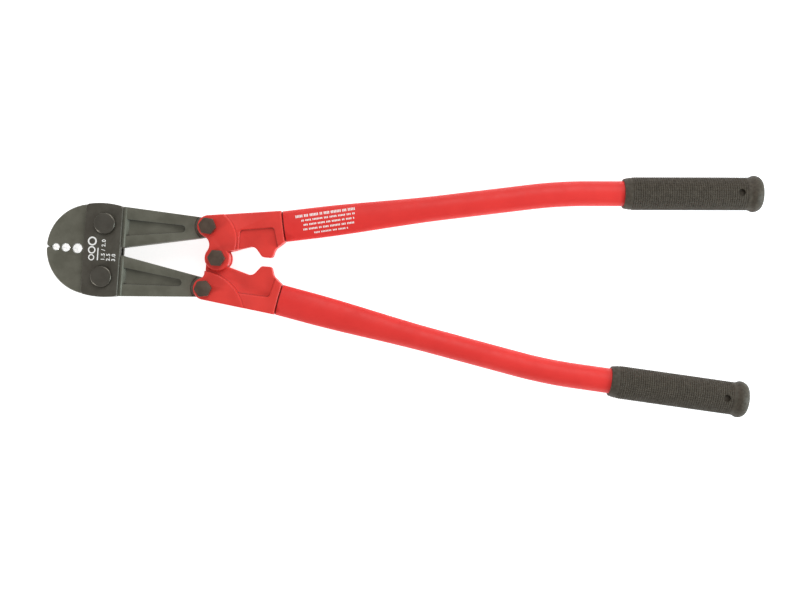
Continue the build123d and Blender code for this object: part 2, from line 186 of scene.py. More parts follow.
def join_pieces(parts: Sequence[Piece], name: str) -> Piece:
    """Join finished parts into one piece.

    Args:
        parts: the objects to join.
        name: the joined piece's name.

    Returns:
        The joined piece.
    """
    select_nothing()
    for part in parts:
        part.select_set(True)
    bpy.context.view_layer.objects.active = parts[0]
    bpy.ops.object.join()
    joined = bpy.context.object
    joined.name = name
    return joined


def ease_edges(piece: Piece, width: float, segments: int = 2) -> None:
    """Round the sharp edges of a piece with an applied bevel.

    Args:
        piece: the mesh object to ease.
        width: bevel width in metres.
        segments: steps across each rounded edge.
    """
    select_only(piece)
    bevel = piece.modifiers.new("ease", "BEVEL")
    bevel.width = width
    bevel.segments = segments
    bevel.limit_method = "ANGLE"
    bevel.angle_limit = radians(SHARP_ANGLE)
    bevel.use_clamp_overlap = True
    bpy.ops.object.modifier_apply(modifier=bevel.name)


def smooth(piece: Piece, angle: float = SHARP_ANGLE) -> None:
    """Shade a piece smooth across edges flatter than an angle.

    Args:
        piece: the mesh object to shade.
        angle: limit in degrees.
    """
    select_only(piece)
    bpy.ops.object.shade_smooth_by_angle(angle=radians(angle))


def eased(share: float) -> float:
    """Smooth a share from 0 to 1 so that it starts and ends level."""
    return share * share * (3 - 2 * share)


def face_outwards(piece: Piece) -> None:
    """Merge doubled vertices and turn every face of a closed piece outwards.

    Args:
        piece: the mesh object to repair.
    """
    with editing(piece, selection="SELECT"):
        bpy.ops.mesh.remove_doubles(threshold=MERGE_DISTANCE)
        bpy.ops.mesh.normals_make_consistent(inside=False)


def extrude_by(shift: Sequence[float]) -> None:
    """Extrude the selected faces by a shift in metres, from inside an editing block."""
    bpy.ops.mesh.extrude_region_move(TRANSFORM_OT_translate={"value": shift})


def round_body(name: str, rings: Sequence[Ring], facets: int) -> Piece:
    """Extrude a disc along X through a list of rings.

    Args:
        name: the new piece's name.
        rings: place along X, half width in Y and half thickness in Z of each ring.
        facets: vertices round each ring.

    Returns:
        The closed body.
    """
    place, wide, thin = rings[0]
    select_nothing()
    bpy.ops.mesh.primitive_circle_add(
        vertices=facets,
        radius=1.0,
        fill_type="NGON",
        location=(place, 0, 0),
        rotation=(0, pi / 2, 0),
    )
    body = bpy.context.object
    body.name = name
    body.scale = (thin, wide, 1.0)
    apply_place(body)
    with editing(body, selection="SELECT"):
        for target, new_wide, new_thin in rings[1:]:
            extrude_by((target - place, 0, 0))
            growth = (1, new_wide / wide, new_thin / thin)
            bpy.ops.transform.resize(value=growth, center_override=(target, 0, 0))
            place, wide, thin = target, new_wide, new_thin
    return body


def turn_selection(angle: float, centre: Sequence[float]) -> None:
    """Turn the selection about Z by the right-hand rule.

    Args:
        angle: in radians; the operator itself counts the other way.
        centre: point that stays in place.
    """
    bpy.ops.transform.rotate(value=-angle, orient_axis="Z", center_override=centre)


def lay_in_place(
    piece: Piece, side: Side, place: tuple[float, float], slope: float
) -> None:
    """Turn a piece modelled along X to its slope, move it and mirror it where it is the lower.

    Args:
        piece: the piece, starting at the origin.
        side: the half of the tool that it belongs to.
        place: X and Y of its start on the upper side.
        slope: degrees away from X on the upper side.
    """
    piece.rotation_euler = (0, 0, radians(slope))
    piece.location = (*place, MID_HEIGHT)
    apply_place(piece)
    if side is Side.LOWER:
        piece.scale = (1, -1, 1)
        apply_place(piece)
        face_outwards(piece)


def refined_copy(node: str, edge_width: float) -> Piece:
    """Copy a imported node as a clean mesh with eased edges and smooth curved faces.

    Args:
        node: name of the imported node.
        edge_width: bevel width for its sharp edges, in metres; none at 0.

    Returns:
        The new piece, at the node's place.
    """
    select_only(frame["nodes"][node])
    bpy.ops.object.duplicate()
    piece = bpy.context.view_layer.objects.active
    piece.parent = None
    piece.matrix_world = Matrix.Identity(4)
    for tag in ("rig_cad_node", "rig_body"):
        del piece[tag]
    piece.name = f"{node}_finished"
    piece.data.materials.clear()
    with editing(piece, selection="SELECT"):
        bpy.ops.mesh.remove_doubles(threshold=MERGE_DISTANCE)
        bpy.ops.mesh.customdata_custom_splitnormals_clear()
        bpy.ops.mesh.dissolve_limited(angle_limit=radians(FLAT_ANGLE))
    if edge_width:
        ease_edges(piece, edge_width)
    smooth(piece)
    return piece


def dress(
    piece: Piece,
    body: str,
    material: Material,
    nodes: Sequence[str] = (),
) -> None:
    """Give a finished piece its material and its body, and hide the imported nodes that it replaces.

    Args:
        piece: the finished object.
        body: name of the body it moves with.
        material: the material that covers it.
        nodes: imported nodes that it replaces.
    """
    piece.data.materials.clear()
    piece.data.materials.append(material)
    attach(piece, body)
    if nodes:
        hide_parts(*nodes)
    log.info("%s rides on %s, %d faces", piece.name, body, len(piece.data.polygons))


# --- finishes


EDGE_SAMPLES = 4
CORNER_SAMPLES = 8


class Wiring:
    """A material's node tree, with short calls to add and join nodes."""

    def __init__(self, name: str) -> None:
        """Start an empty tree with one Principled shader.

        Args:
            name: the material's name.
        """
        self.material = bpy.data.materials.new(name)
        self.material.use_nodes = True
        self.tree = self.material.node_tree
        self.tree.nodes.clear()
        output = self.add("OutputMaterial")
        self.shader = self.add("BsdfPrincipled")
        self.join(self.shader.outputs["BSDF"], output.inputs["Surface"])
        self.place = self.add("TexCoord").outputs["Object"]

    def add(self, kind: str) -> bpy.types.Node:
        """Add a shader node of one kind."""
        return self.tree.nodes.new(f"ShaderNode{kind}")

    def set(self, **values: float) -> None:
        """Set constant values on the shader's own sockets, named with underscores."""
        for name, value in values.items():
            self.shader.inputs[name.replace("_", " ")].default_value = value

    def join(self, source: Socket, target: Socket) -> None:
        """Link two sockets."""
        self.tree.links.new(source, target)

    def axes(self) -> tuple[Socket, Socket]:
        """Split off the piece's X coordinate and its distance from the tool's middle plane.

        Returns:
            The sockets of X and of the absolute value of Y.
        """
        split = self.add("SeparateXYZ")
        self.join(self.place, split.inputs["Vector"])
        return split.outputs["X"], self.combine("ABSOLUTE", split.outputs["Y"])

    def noise(
        self,
        scale: float,
        detail: float = 3.0,
        rough: float = 0.55,
        stretch: Sequence[float] = (1, 1, 1),
    ) -> Socket:
        """Add a noise pattern on the piece's own coordinates.

        Args:
            scale: cells per metre.
            detail: octaves of finer noise.
            rough: strength of the finer octaves.
            stretch: scale along each axis, before the noise.

        Returns:
            The noise value's socket.
        """
        mapping = self.add("Mapping")
        mapping.inputs["Scale"].default_value = stretch
        self.join(self.place, mapping.inputs["Vector"])
        pattern = self.add("TexNoise")
        pattern.inputs["Scale"].default_value = scale
        pattern.inputs["Detail"].default_value = detail
        pattern.inputs["Roughness"].default_value = rough
        self.join(mapping.outputs["Vector"], pattern.inputs["Vector"])
        return pattern.outputs["Fac"]

    def remap(
        self,
        value: Socket,
        low: float,
        high: float,
        to_low: float = 0.0,
        to_high: float = 1.0,
    ) -> Socket:
        """Map one span of a value onto another, held at its ends.

        Args:
            value: the socket to map.
            low: start of the input span.
            high: end of the input span.
            to_low: output at the start.
            to_high: output at the end.

        Returns:
            The mapped value's socket.
        """
        spread = self.add("MapRange")
        spread.interpolation_type = "SMOOTHSTEP"
        spans = {"From Min": low, "From Max": high, "To Min": to_low, "To Max": to_high}
        for name, number in spans.items():
            spread.inputs[name].default_value = number
        self.join(value, spread.inputs["Value"])
        return spread.outputs["Result"]

    def blend(
        self,
        share: Socket,
        first: Sequence[float] | Socket,
        second: Sequence[float] | Socket,
    ) -> Socket:
        """Mix two colours by a share from 0 to 1.

        Args:
            share: how much of the second colour shows.
            first: colour, or a colour's socket.
            second: colour, or a colour's socket.

        Returns:
            The mixed colour's socket.
        """
        mix = self.add("Mix")
        mix.data_type = "RGBA"
        self.join(share, mix.inputs[0])
        for socket, colour in ((mix.inputs[6], first), (mix.inputs[7], second)):
            if isinstance(colour, Socket):
                self.join(colour, socket)
            else:
                socket.default_value = (*colour, 1.0)
        return mix.outputs[2]

    def combine(
        self,
        how: str,
        first: Socket,
        second: Socket | float = 0.0,
    ) -> Socket:
        """Do one step of arithmetic on one or two values.

        Args:
            how: the Math node's operation.
            first: the first value's socket.
            second: the second value's socket, or a number, where the operation has one.

        Returns:
            The result's socket.
        """
        math = self.add("Math")
        math.operation = how
        self.join(first, math.inputs[0])
        if isinstance(second, Socket):
            self.join(second, math.inputs[1])
        else:
            math.inputs[1].default_value = second
        return math.outputs[0]

    def bump(self, layers: Sequence[tuple[Socket, float]]) -> None:
        """Stack bumps, each a height's socket and its depth in metres, onto the shader.

        Args:
            layers: height socket and depth, coarse ones first.
        """
        below = None
        for height, depth in layers:
            node = self.add("Bump")
            node.inputs["Strength"].default_value = 1.0
            node.inputs["Distance"].default_value = depth
            self.join(height, node.inputs["Height"])
            if below is not None:
                self.join(below, node.inputs["Normal"])
            below = node.outputs["Normal"]
        self.join(below, self.shader.inputs["Normal"])

    def colour(self, socket: Socket) -> None:
        """Drive the shader's base colour."""
        self.join(socket, self.shader.inputs["Base Color"])

    def roughness(self, socket: Socket) -> None:
        """Drive the shader's roughness."""
        self.join(socket, self.shader.inputs["Roughness"])

    def worn_edges(self, width: float) -> Socket:
        """Find sharp edges, broken up by noise: where blacking wears first, and where enamel is
        painted lighter, partly as thin paint and partly as a painted highlight.

        Args:
            width: how far the wear and the painted highlight reach from an edge, in metres.

        Returns:
            A share from 0 on open faces to 1 on the edges, worn on steel and painted lighter on
            enamel.
        """
        geometry = self.add("NewGeometry")
        rounded = self.add("Bevel")
        rounded.samples = EDGE_SAMPLES
        rounded.inputs["Radius"].default_value = width
        compare = self.add("VectorMath")
        compare.operation = "DOT_PRODUCT"
        self.join(rounded.outputs["Normal"], compare.inputs[0])
        self.join(geometry.outputs["Normal"], compare.inputs[1])
        ridge = self.remap(compare.outputs["Value"], low=0.80, high=0.97, to_low=1.0, to_high=0.0)
        chips = self.noise(scale=260.0, detail=5.0, rough=0.7)
        patches = self.remap(chips, low=0.40, high=0.66, to_low=0.15)
        return self.combine("MULTIPLY", ridge, patches)

    def crevices(self, reach: float) -> Socket:
        """Find the piece's own inner corners, where painted shade darkens the colour.

        Args:
            reach: how far out of a corner the shade goes, in metres.

        Returns:
            A share from 0 on open faces to 1 in deep corners.
        """
        corner = self.add("AmbientOcclusion")
        corner.samples = CORNER_SAMPLES
        corner.only_local = True
        corner.inputs["Distance"].default_value = reach
        return self.remap(corner.outputs["AO"], low=0.45, high=0.9, to_low=1.0, to_high=0.0)


@dataclass(frozen=True)
class Finish:
    """A named material, wired by the method of its own class."""

    name: str

    def build(self) -> Material:
        """Start the material and wire it.

        Returns:
            The finished material.
        """
        wiring = Wiring(self.name)
        self.wire(wiring)
        return wiring.material

    def wire(self, wiring: Wiring) -> None:
        """Wire the colour, the roughness and the bumps."""
        raise NotImplementedError


@dataclass(frozen=True)
class Enamel(Finish):
    """Baked red enamel over tube or casting."""

    colour: Colour
    shade: Colour
    gloss_roughness: float
    roughness_spread: float = 0.14
    cast_depth: float = 0.0
    crevice_reach: float = 1.9 * MM
    wear_width: float = 0.5 * MM
    peel_depth: float = 0.02 * MM
    # Darker red painted into inner corners as painted shade.
    grime: Colour = (0.24, 0.020, 0.015)
    # Lighter red for edges: partly thin paint, partly a painted highlight.
    thin_paint: Colour = (0.90, 0.17, 0.12)
    # Darker red painted at the tube's front end as painted shade where it meets the head.
    seam_grime: Colour = (0.16, 0.018, 0.014)
    seam: tuple[float, float] | None = None
    seam_slope: float = 0.0
    seam_width: float = 1.0 * MM
    seam_fade: float = 0.6 * MM

    def seam_share(self, wiring: Wiring) -> Socket:
        """Share of painted shade at the front end of either handle's tube.

        Args:
            wiring: the material being wired.

        Returns:
            The share's socket, 1 at the end and 0 from under two millimetres along.
        """
        turn = radians(self.seam_slope)
        ahead, aside = wiring.axes()
        along = wiring.combine("MULTIPLY", ahead, cos(turn))
        out = wiring.combine("MULTIPLY", aside, sin(turn))
        start = self.seam[0] * cos(turn) + self.seam[1] * sin(turn)
        reach = wiring.combine("SUBTRACT", wiring.combine("ADD", along, out), start)
        clean = self.seam_width + self.seam_fade
        return wiring.remap(reach, self.seam_width, clean, to_low=1.0, to_high=0.0)

    def wire(self, wiring: Wiring) -> None:
        """Wire the mottled red, its orange peel, painted shade at a tube's front end and, on a
        casting, the rough skin, painted shade in the inner corners and edges painted lighter as thin
        paint and a painted highlight.

        Args:
            wiring: the material being wired.
        """
        cloud = wiring.remap(wiring.noise(scale=45.0, detail=4.0), low=0.3, high=0.7)
        enamel = wiring.blend(cloud, self.shade, self.colour)
        if self.cast_depth:
            # Painted shade: darker red in the casting's own inner corners.
            enamel = wiring.blend(wiring.crevices(self.crevice_reach), enamel, self.grime)
            # Painted highlight: the casting's edges are painted lighter red, partly as thin paint.
            enamel = wiring.blend(wiring.worn_edges(self.wear_width), enamel, self.thin_paint)
        # Painted shade: the tube's front end is darkened where it meets the head.
        if self.seam:
            enamel = wiring.blend(self.seam_share(wiring), enamel, self.seam_grime)
        wiring.colour(enamel)
        smear = wiring.noise(scale=160.0, detail=4.0, rough=0.6)
        dull = self.gloss_roughness + self.roughness_spread
        wiring.roughness(wiring.remap(smear, 0.3, 0.75, self.gloss_roughness, dull))
        wiring.set(IOR=1.45, Specular_IOR_Level=0.42)
        layers = [(wiring.noise(scale=900.0, detail=2.0), self.peel_depth)]
        if self.cast_depth:
            skin = wiring.noise(scale=420.0, detail=5.0, rough=0.62)
            layers.insert(0, (skin, self.cast_depth))
        wiring.bump(layers)


@dataclass(frozen=True)
class ForgedSteel(Finish):
    """Phosphated forging: dull grey-green, finely pitted, with bright steel inside the dies."""

    name: str = "forged_jaw_steel"
    dark: Colour = (0.112, 0.108, 0.080)
    light: Colour = (0.150, 0.146, 0.112)
    # Darker grey painted into inner corners as painted shade.
    grime: Colour = (0.040, 0.038, 0.028)
    rubbed: Colour = (0.24, 0.25, 0.24)
    bright: Colour = (0.97, 0.97, 0.96)
    crevice_reach: float = 2.2 * MM
    wear_width: float = 0.5 * MM
    die_skin: float = 0.35 * MM
    die_fade: float = 0.2 * MM
    die_polish: float = 0.3
    skin_metallic: float = 0.35
    pit_depth: float = 0.05 * MM
    grit_depth: float = 0.015 * MM

    def die_share(self, wiring: Wiring) -> Socket:
        """Share of bright steel: 1 on the walls and mouths of the three dies.

        Args:
            wiring: the material being wired.

        Returns:
            The share's socket.
        """
        total = None
        ahead, aside = wiring.axes()
        across = wiring.combine("POWER", aside, 2.0)
        for die in DIES:
            along = wiring.combine("SUBTRACT", ahead, die["pos_m"][0])
            square = wiring.combine("POWER", wiring.combine("ABSOLUTE", along), 2.0)
            reach = wiring.combine("SQRT", wiring.combine("ADD", square, across))
            edge = die["dims"]["r_mm"] * MM + self.die_skin
            share = wiring.remap(reach, edge, edge + self.die_fade, to_low=1.0, to_high=0.0)
            total = share if total is None else wiring.combine("MAXIMUM", total, share)
        return total

    def wire(self, wiring: Wiring) -> None:
        """Wire the mottled phosphate, the fine pits, painted shade in the inner corners, the rubbed
        edges and the bright dies.

        Args:
            wiring: the material being wired.
        """
        mottle = wiring.noise(scale=60.0, detail=6.0, rough=0.62)
        skin = wiring.blend(wiring.remap(mottle, low=0.32, high=0.68), self.dark, self.light)
        # Painted shade: darker in the jaw's own inner corners.
        skin = wiring.blend(wiring.crevices(self.crevice_reach), skin, self.grime)
        skin = wiring.blend(wiring.worn_edges(self.wear_width), skin, self.rubbed)
        die = self.die_share(wiring)
        wiring.colour(wiring.blend(die, skin, self.bright))
        smear = wiring.noise(scale=240.0, detail=5.0, rough=0.65)
        dull = wiring.remap(smear, low=0.3, high=0.7, to_low=0.46, to_high=0.58)
        polish = wiring.combine("MULTIPLY", die, self.die_polish)
        wiring.roughness(wiring.combine("SUBTRACT", dull, polish))
        metal = wiring.combine("MAXIMUM", die, self.skin_metallic)
        wiring.join(metal, wiring.shader.inputs["Metallic"])
        pits = wiring.noise(scale=500.0, detail=6.0, rough=0.7)
        grit = wiring.noise(scale=2200.0, detail=2.0)
        wiring.bump([(pits, self.pit_depth), (grit, self.grit_depth)])


@dataclass(frozen=True)
class BlackedSteel(Finish):
    """Oiled black oxide, brown where it is thin, with rubbed edges."""

    dark: Colour
    light: Colour
    roughness: float
    roughness_spread: float = 0.10
    grain: Sequence[float] = (1.0, 1.0, 1.0)
    grain_depth: float = 0.02 * MM
    metallic: float = 0.45
    rubbed: Colour = (0.20, 0.19, 0.17)
    wear_width: float = 0.35 * MM

    def wire(self, wiring: Wiring) -> None:
        """Wire the brown and black clouds, the machining grain and the rubbed edges.

        Args:
            wiring: the material being wired.
        """
        mottle = wiring.noise(scale=110.0, detail=5.0, rough=0.6)
        skin = wiring.blend(wiring.remap(mottle, low=0.32, high=0.7), self.dark, self.light)
        wiring.colour(wiring.blend(wiring.worn_edges(self.wear_width), skin, self.rubbed))
        smear = wiring.noise(scale=300.0, detail=5.0, rough=0.6, stretch=self.grain)
        dull = self.roughness + self.roughness_spread
        wiring.roughness(wiring.remap(smear, 0.3, 0.7, self.roughness, dull))
        wiring.set(Metallic=self.metallic)
        scratches = wiring.noise(scale=700.0, detail=4.0, rough=0.6, stretch=self.grain)
        wiring.bump([(scratches, self.grain_depth)])


@dataclass(frozen=True)
class GripRubber(Finish):
    """Moulded vinyl: warm black, matt, with dusty high spots."""

    name: str = "grip_rubber"
    dark: Colour = (0.042, 0.033, 0.022)
    light: Colour = (0.074, 0.060, 0.043)
    skin_depth: float = 0.03 * MM

    def wire(self, wiring: Wiring) -> None:
        """Wire clouds of wear over a fine moulded skin.

        Args:
            wiring: the material being wired.
        """
        dust = wiring.noise(scale=380.0, detail=5.0, rough=0.65)
        wiring.colour(wiring.blend(wiring.remap(dust, low=0.3, high=0.72), self.dark, self.light))
        shine = wiring.noise(scale=400.0)
        wiring.roughness(wiring.remap(shine, low=0.3, high=0.7, to_low=0.55, to_high=0.74))
        wiring.set(Specular_IOR_Level=0.35)
        wiring.bump([(wiring.noise(scale=1500.0, rough=0.6), self.skin_depth)])


@dataclass(frozen=True)
class PrintInk(Finish):
    """White screen print, a little patchy."""

    name: str = "white_print"
    ink: Colour = (0.88, 0.87, 0.84)
    thin_ink: Colour = (0.55, 0.50, 0.46)

    def wire(self, wiring: Wiring) -> None:
        """Wire white ink, thinned in spots.

        Args:
            wiring: the material being wired.
        """
        thin = wiring.remap(wiring.noise(scale=1600.0), low=0.55, high=0.8, to_high=0.35)
        wiring.colour(wiring.blend(thin, self.ink, self.thin_ink))
        wiring.set(Roughness=0.5)


@dataclass(frozen=True)
class TurnedSteel(Finish):
    """Bare turned steel of the bushes."""

    name: str = "turned_steel"
    dark: Colour = (0.40, 0.40, 0.39)
    light: Colour = (0.55, 0.55, 0.54)
    groove_stretch: Sequence[float] = (0.2, 0.2, 6.0)
    groove_depth: float = 0.01 * MM

    def wire(self, wiring: Wiring) -> None:
        """Wire rings of fine turning marks on grey steel.

        Args:
            wiring: the material being wired.
        """
        rings = wiring.noise(scale=900.0, rough=0.6, stretch=self.groove_stretch)
        wiring.colour(wiring.blend(rings, self.dark, self.light))
        wiring.roughness(wiring.remap(rings, low=0.3, high=0.7, to_low=0.22, to_high=0.4))
        wiring.set(Metallic=1.0)
        wiring.bump([(rings, self.groove_depth)])


class Finishes:
    """Every material of the tool, built once."""

    def __init__(self) -> None:
        """Build each finish."""
        self.tube = Enamel(
            "tube_enamel",
            colour=(0.78, 0.033, 0.027),
            shade=(0.73, 0.028, 0.023),
            gloss_roughness=0.46,
            seam=HandleTube.start,
            seam_slope=HandleTube.slope,
        ).build()
        self.casting = Enamel(
            "casting_enamel",
            colour=(0.77, 0.046, 0.034),
            shade=(0.68, 0.038, 0.028),
            gloss_roughness=0.36,
            cast_depth=0.10 * MM,
        ).build()
        self.jaw = ForgedSteel().build()
        self.plate = BlackedSteel(
            "plate_steel",
            dark=(0.074, 0.066, 0.051),
            light=(0.094, 0.086, 0.068),
            roughness=0.38,
            grain=(1.0, 0.2, 1.0),
        ).build()
        self.round_bolt = BlackedSteel(
            "round_bolt_steel",
            dark=(0.115, 0.106, 0.088),
            light=(0.135, 0.125, 0.105),
            roughness=0.30,
            metallic=0.9,
        ).build()
        self.bolt = BlackedSteel(
            "bolt_steel",
            dark=(0.084, 0.057, 0.041),
            light=(0.116, 0.081, 0.059),
            roughness=0.32,
        ).build()
        self.rubber = GripRubber().build()
        self.ink = PrintInk().build()
        self.bush = TurnedSteel().build()


# --- tubes


@dataclass
class HandleTube:
    """A bent steel tube, oval at the head and round at the grip."""

    side: Side
    start: tuple[float, float] = (53.4 * MM, 31.3 * MM)
    slope: float = 11.0
    grip_slope: float = 4.0
    wide_half: float = 13.3 * MM
    thin_half: float = 8.0 * MM
    round_radius: float = 10.7 * MM
    flat_length: float = 28.0 * MM
    taper_length: float = 110.0 * MM
    bend_at: float = 238.4 * MM
    bend_radius: float = 420.0 * MM
    grip_from_bend: float = 55.0 * MM
    length_in_grip: float = 88.0 * MM
    front_gap: float = 0.3 * MM
    front_round: float = 1.3 * MM
    facets: int = 72
    lip_rings: int = 4
    taper_rings: int = 16
    straight_rings: int = 4
    bend_rings: int = 14
    end_rings: int = 4

    @property
    def bend_tangent(self) -> float:
        """Length from the bend's middle point to where each straight run begins."""
        return self.bend_radius * tan(radians(self.slope - self.grip_slope) / 2)

    def mouth(self) -> tuple[float, float]:
        """Find where the grip's mouth stands, on the upper side.

        Returns:
            Its X and Y.
        """
        turn, end = radians(self.slope), radians(self.grip_slope)
        bend_x = self.start[0] + self.bend_at * cos(turn)
        bend_y = self.start[1] + self.bend_at * sin(turn)
        return (bend_x + self.grip_from_bend * cos(end), bend_y + self.grip_from_bend * sin(end))

    def section(self, distance: float) -> tuple[float, float]:
        """Half width and half thickness at a distance from the front end.

        Args:
            distance: along the tube, in metres.

        Returns:
            Half sizes in the tool's plane and across it.
        """
        ease = eased(min(max((distance - self.flat_length) / self.taper_length, 0.0), 1.0))
        wide = self.wide_half + (self.round_radius - self.wide_half) * ease
        thin = self.thin_half + (self.round_radius - self.thin_half) * ease
        return wide, thin

    def build(self) -> Piece:
        """Extrude the tube ring by ring: rounded front lip, oval, taper, bend and plain end.

        Returns:
            The closed tube.
        """
        tube = round_body(f"{self.side.word}_tube", self.front_rings(), self.facets)
        self.extrude_bend(tube)
        face_outwards(tube)
        lay_in_place(tube, self.side, self.start, self.slope)
        smooth(tube)
        return tube

    def front_rings(self) -> list[Ring]:
        """List the rings of the rounded lip, the oval run and the taper, up to the bend.

        Returns:
            Place, half width and half thickness of each ring.
        """
        rings = []
        for step in range(self.lip_rings + 1):
            angle = step / self.lip_rings * pi / 2
            rise = self.front_round * (1 - sin(angle))
            place = self.front_gap + self.front_round * (1 - cos(angle))
            rings.append((place, self.wide_half - rise, self.thin_half - rise))
        taper_end = self.flat_length + self.taper_length
        rest = self.bend_at - self.bend_tangent - taper_end
        stations = [
            self.flat_length + count * self.taper_length / self.taper_rings
            for count in range(self.taper_rings + 1)
        ]
        stations += [
            taper_end + count * rest / self.straight_rings
            for count in range(1, self.straight_rings + 1)
        ]
        return rings + [(place, *self.section(place)) for place in stations]

    def extrude_bend(self, tube: Piece) -> None:
        """Extrude round the bend and along the run into the grip.

        Args:
            tube: the tube, its last ring at the start of the bend.
        """
        turn = radians(self.grip_slope - self.slope)
        step_turn = turn / self.bend_rings
        x, y = self.bend_at - self.bend_tangent, 0.0
        chord = 2 * self.bend_radius * sin(abs(step_turn) / 2)
        behind_ring = x - RING_SLACK
        with editing(tube):
            pick_vertices(tube, lambda place: place.x > behind_ring)
            for step in range(self.bend_rings):
                heading = step_turn * (step + 0.5)
                shift = (chord * cos(heading), chord * sin(heading), 0)
                x, y = x + shift[0], y + shift[1]
                extrude_by(shift)
                turn_selection(step_turn, (x, y, 0))
            run = (self.grip_from_bend - self.bend_tangent + self.length_in_grip) / self.end_rings
            shift = (run * cos(turn), run * sin(turn), 0)
            for _ in range(self.end_rings):
                extrude_by(shift)


# --- grips


@dataclass
class Grip:
    """A moulded grip: plain mouth, ribbed and fluted body, flange, domed end and a blind hole."""

    side: Side
    mouth: tuple[float, float]
    slope: float = 4.0
    bore: float = 10.72 * MM
    bore_depth: float = 2.5 * MM
    bore_chamfer: float = 0.3 * MM
    lip: float = 0.4 * MM
    mouth_radius: float = 12.6 * MM
    radius: float = 14.1 * MM
    flare_length: float = 10.0 * MM
    flare_power: float = 1.7
    flare_places: tuple[float, ...] = (1.6 * MM, 2.9 * MM, 4.2 * MM, 5.5 * MM)
    length: float = 118.5 * MM
    flange_radius: float = 15.7 * MM
    flange_at: float = 106.5 * MM
    flange_crest: float = 111.5 * MM
    end_radius: float = 10.0 * MM
    rib_start: float = 7.0 * MM
    rib_end: float = 104.5 * MM
    rib_pitch: float = 1.9 * MM
    rib_depth: float = 0.40 * MM
    rib_shape: tuple[tuple[float, float], ...] = ((0.0, 1.0), (0.22, 0.0), (0.62, 0.0), (0.84, 1.0))
    flutes: int = 44
    lines_per_flute: int = 3
    flute_depth: float = 0.32 * MM
    curve_rings: int = 8
    hole_at: float = 98.5 * MM
    hole_radius: float = 3.0 * MM
    hole_depth: float = 3.0 * MM
    hole_facets: int = 40
    smooth_angle: float = 28.0

    def body_radius(self, place: float) -> float:
        """Radius of the grip's plain surface, before its ribs.

        Args:
            place: distance from the mouth, in metres.

        Returns:
            The radius.
        """
        flare = 1 - (1 - min(place / self.flare_length, 1.0)) ** self.flare_power
        return self.mouth_radius + (self.radius - self.mouth_radius) * flare

    def stations(self) -> list[tuple[float, float]]:
        """List every ring of the grip, from inside its mouth to its end.

        Returns:
            Distance along the axis and radius of each ring.
        """
        rings = [(self.bore_depth, self.bore), (self.lip, self.bore)]
        rings += [(0.0, self.bore + self.bore_chamfer), (0.0, self.mouth_radius - self.lip)]
        rings += [(place, self.body_radius(place)) for place in (self.lip, *self.flare_places)]
        place = self.rib_start
        while place + self.rib_pitch < self.rib_end:
            for share, depth in self.rib_shape:
                along = place + share * self.rib_pitch
                rings.append((along, self.body_radius(along) - depth * self.rib_depth))
            place += self.rib_pitch
        rings += [(self.rib_end, self.radius), (self.flange_at, self.radius)]
        return rings + self.flange_and_end()

    def flange_and_end(self) -> list[tuple[float, float]]:
        """List the rings of the rounded flange, its shoulder and the flat end.

        Returns:
            Distance along the axis and radius of each ring.
        """
        rings = []
        shares = [count / self.curve_rings for count in range(1, self.curve_rings + 1)]
        rise, run = self.flange_radius - self.radius, self.flange_crest - self.flange_at
        for share in shares:
            rings.append((self.flange_at + share * run, self.radius + rise * eased(share)))
        drop, shoulder = self.flange_radius - self.end_radius, self.length - self.flange_crest
        for share in shares:
            angle = share * pi / 2
            along = self.flange_crest + shoulder * sin(angle)
            rings.append((along, self.end_radius + drop * cos(angle)))
        return rings + [(self.length, self.end_radius / 2)]

    def build(self) -> Piece:
        """Extrude the body ring by ring, press in the flutes and bore the blind hole.

        Returns:
            The finished grip.
        """
        rings = [(place, radius, radius) for place, radius in self.stations()]
        facets = self.flutes * self.lines_per_flute
        grip = round_body(f"{self.side.word}_ribbed_grip", rings, facets)
        face_outwards(grip)
        self.press_flutes(grip)
        self.bore_hole(grip)
        lay_in_place(grip, self.side, self.mouth, self.slope)
        smooth(grip, self.smooth_angle)
        return grip

    def press_flutes(self, grip: Piece) -> None:
        """Sink one line of vertices in three along the ribs, which leaves rows of small blocks.

        Args:
            grip: the grip, its axis on X.
        """
        pitch = 2 * pi / self.flutes
        start, stop = self.rib_start - RING_SLACK, self.rib_end - RING_SLACK
        half_line = 0.5 / self.lines_per_flute

        def in_flute(place: Vector) -> bool:
            """Tell whether a vertex lies on a flute line of the ribbed stretch.

            Args:
                place: the vertex's coordinates.

            Returns:
                Whether it is to be sunk.
            """
            if not start < place.x < stop:
                return False
            turn = (Vector((place.y, place.z)).angle_signed(Vector((1.0, 0.0))) / pitch) % 1.0
            return turn < half_line or turn > 1 - half_line

        with editing(grip):
            pick_vertices(grip, in_flute)
            shrink = 1 - self.flute_depth / self.radius
            on_axis = (self.rib_start, 0, 0)
            bpy.ops.transform.resize(value=(1, shrink, shrink), center_override=on_axis)

    def bore_hole(self, grip: Piece) -> None:
        """Cut the blind hole in the top, near the flange.

        Args:
            grip: the grip, its axis on X.
        """
        select_nothing()
        bpy.ops.mesh.primitive_cylinder_add(
            vertices=self.hole_facets,
            radius=self.hole_radius,
            depth=2 * self.hole_depth,
            location=(self.hole_at, 0, self.radius),
        )
        cutter = bpy.context.object
        apply_place(cutter)
        select_only(grip)
        cut = grip.modifiers.new("hole", "BOOLEAN")
        cut.operation = "DIFFERENCE"
        cut.solver = "EXACT"
        cut.object = cutter
        bpy.ops.object.modifier_apply(modifier=cut.name)
        bpy.data.objects.remove(cutter)


@dataclass
class Handle:
    """One handle's tube and grip."""

    side: Side

    def make(self, finishes: Finishes) -> None:
        """Build and dress the tube and the grip.

        Args:
            finishes: the tool's materials.
        """
        body = f"{self.side.word}_handle"
        maker = HandleTube(self.side)
        dress(maker.build(), body, finishes.tube, [f"{self.side.word}_handle_tube"])
        grip = Grip(self.side, maker.mouth())
        dress(grip.build(), body, finishes.rubber, [f"{self.side.word}_grip"])


# --- steel parts and castings


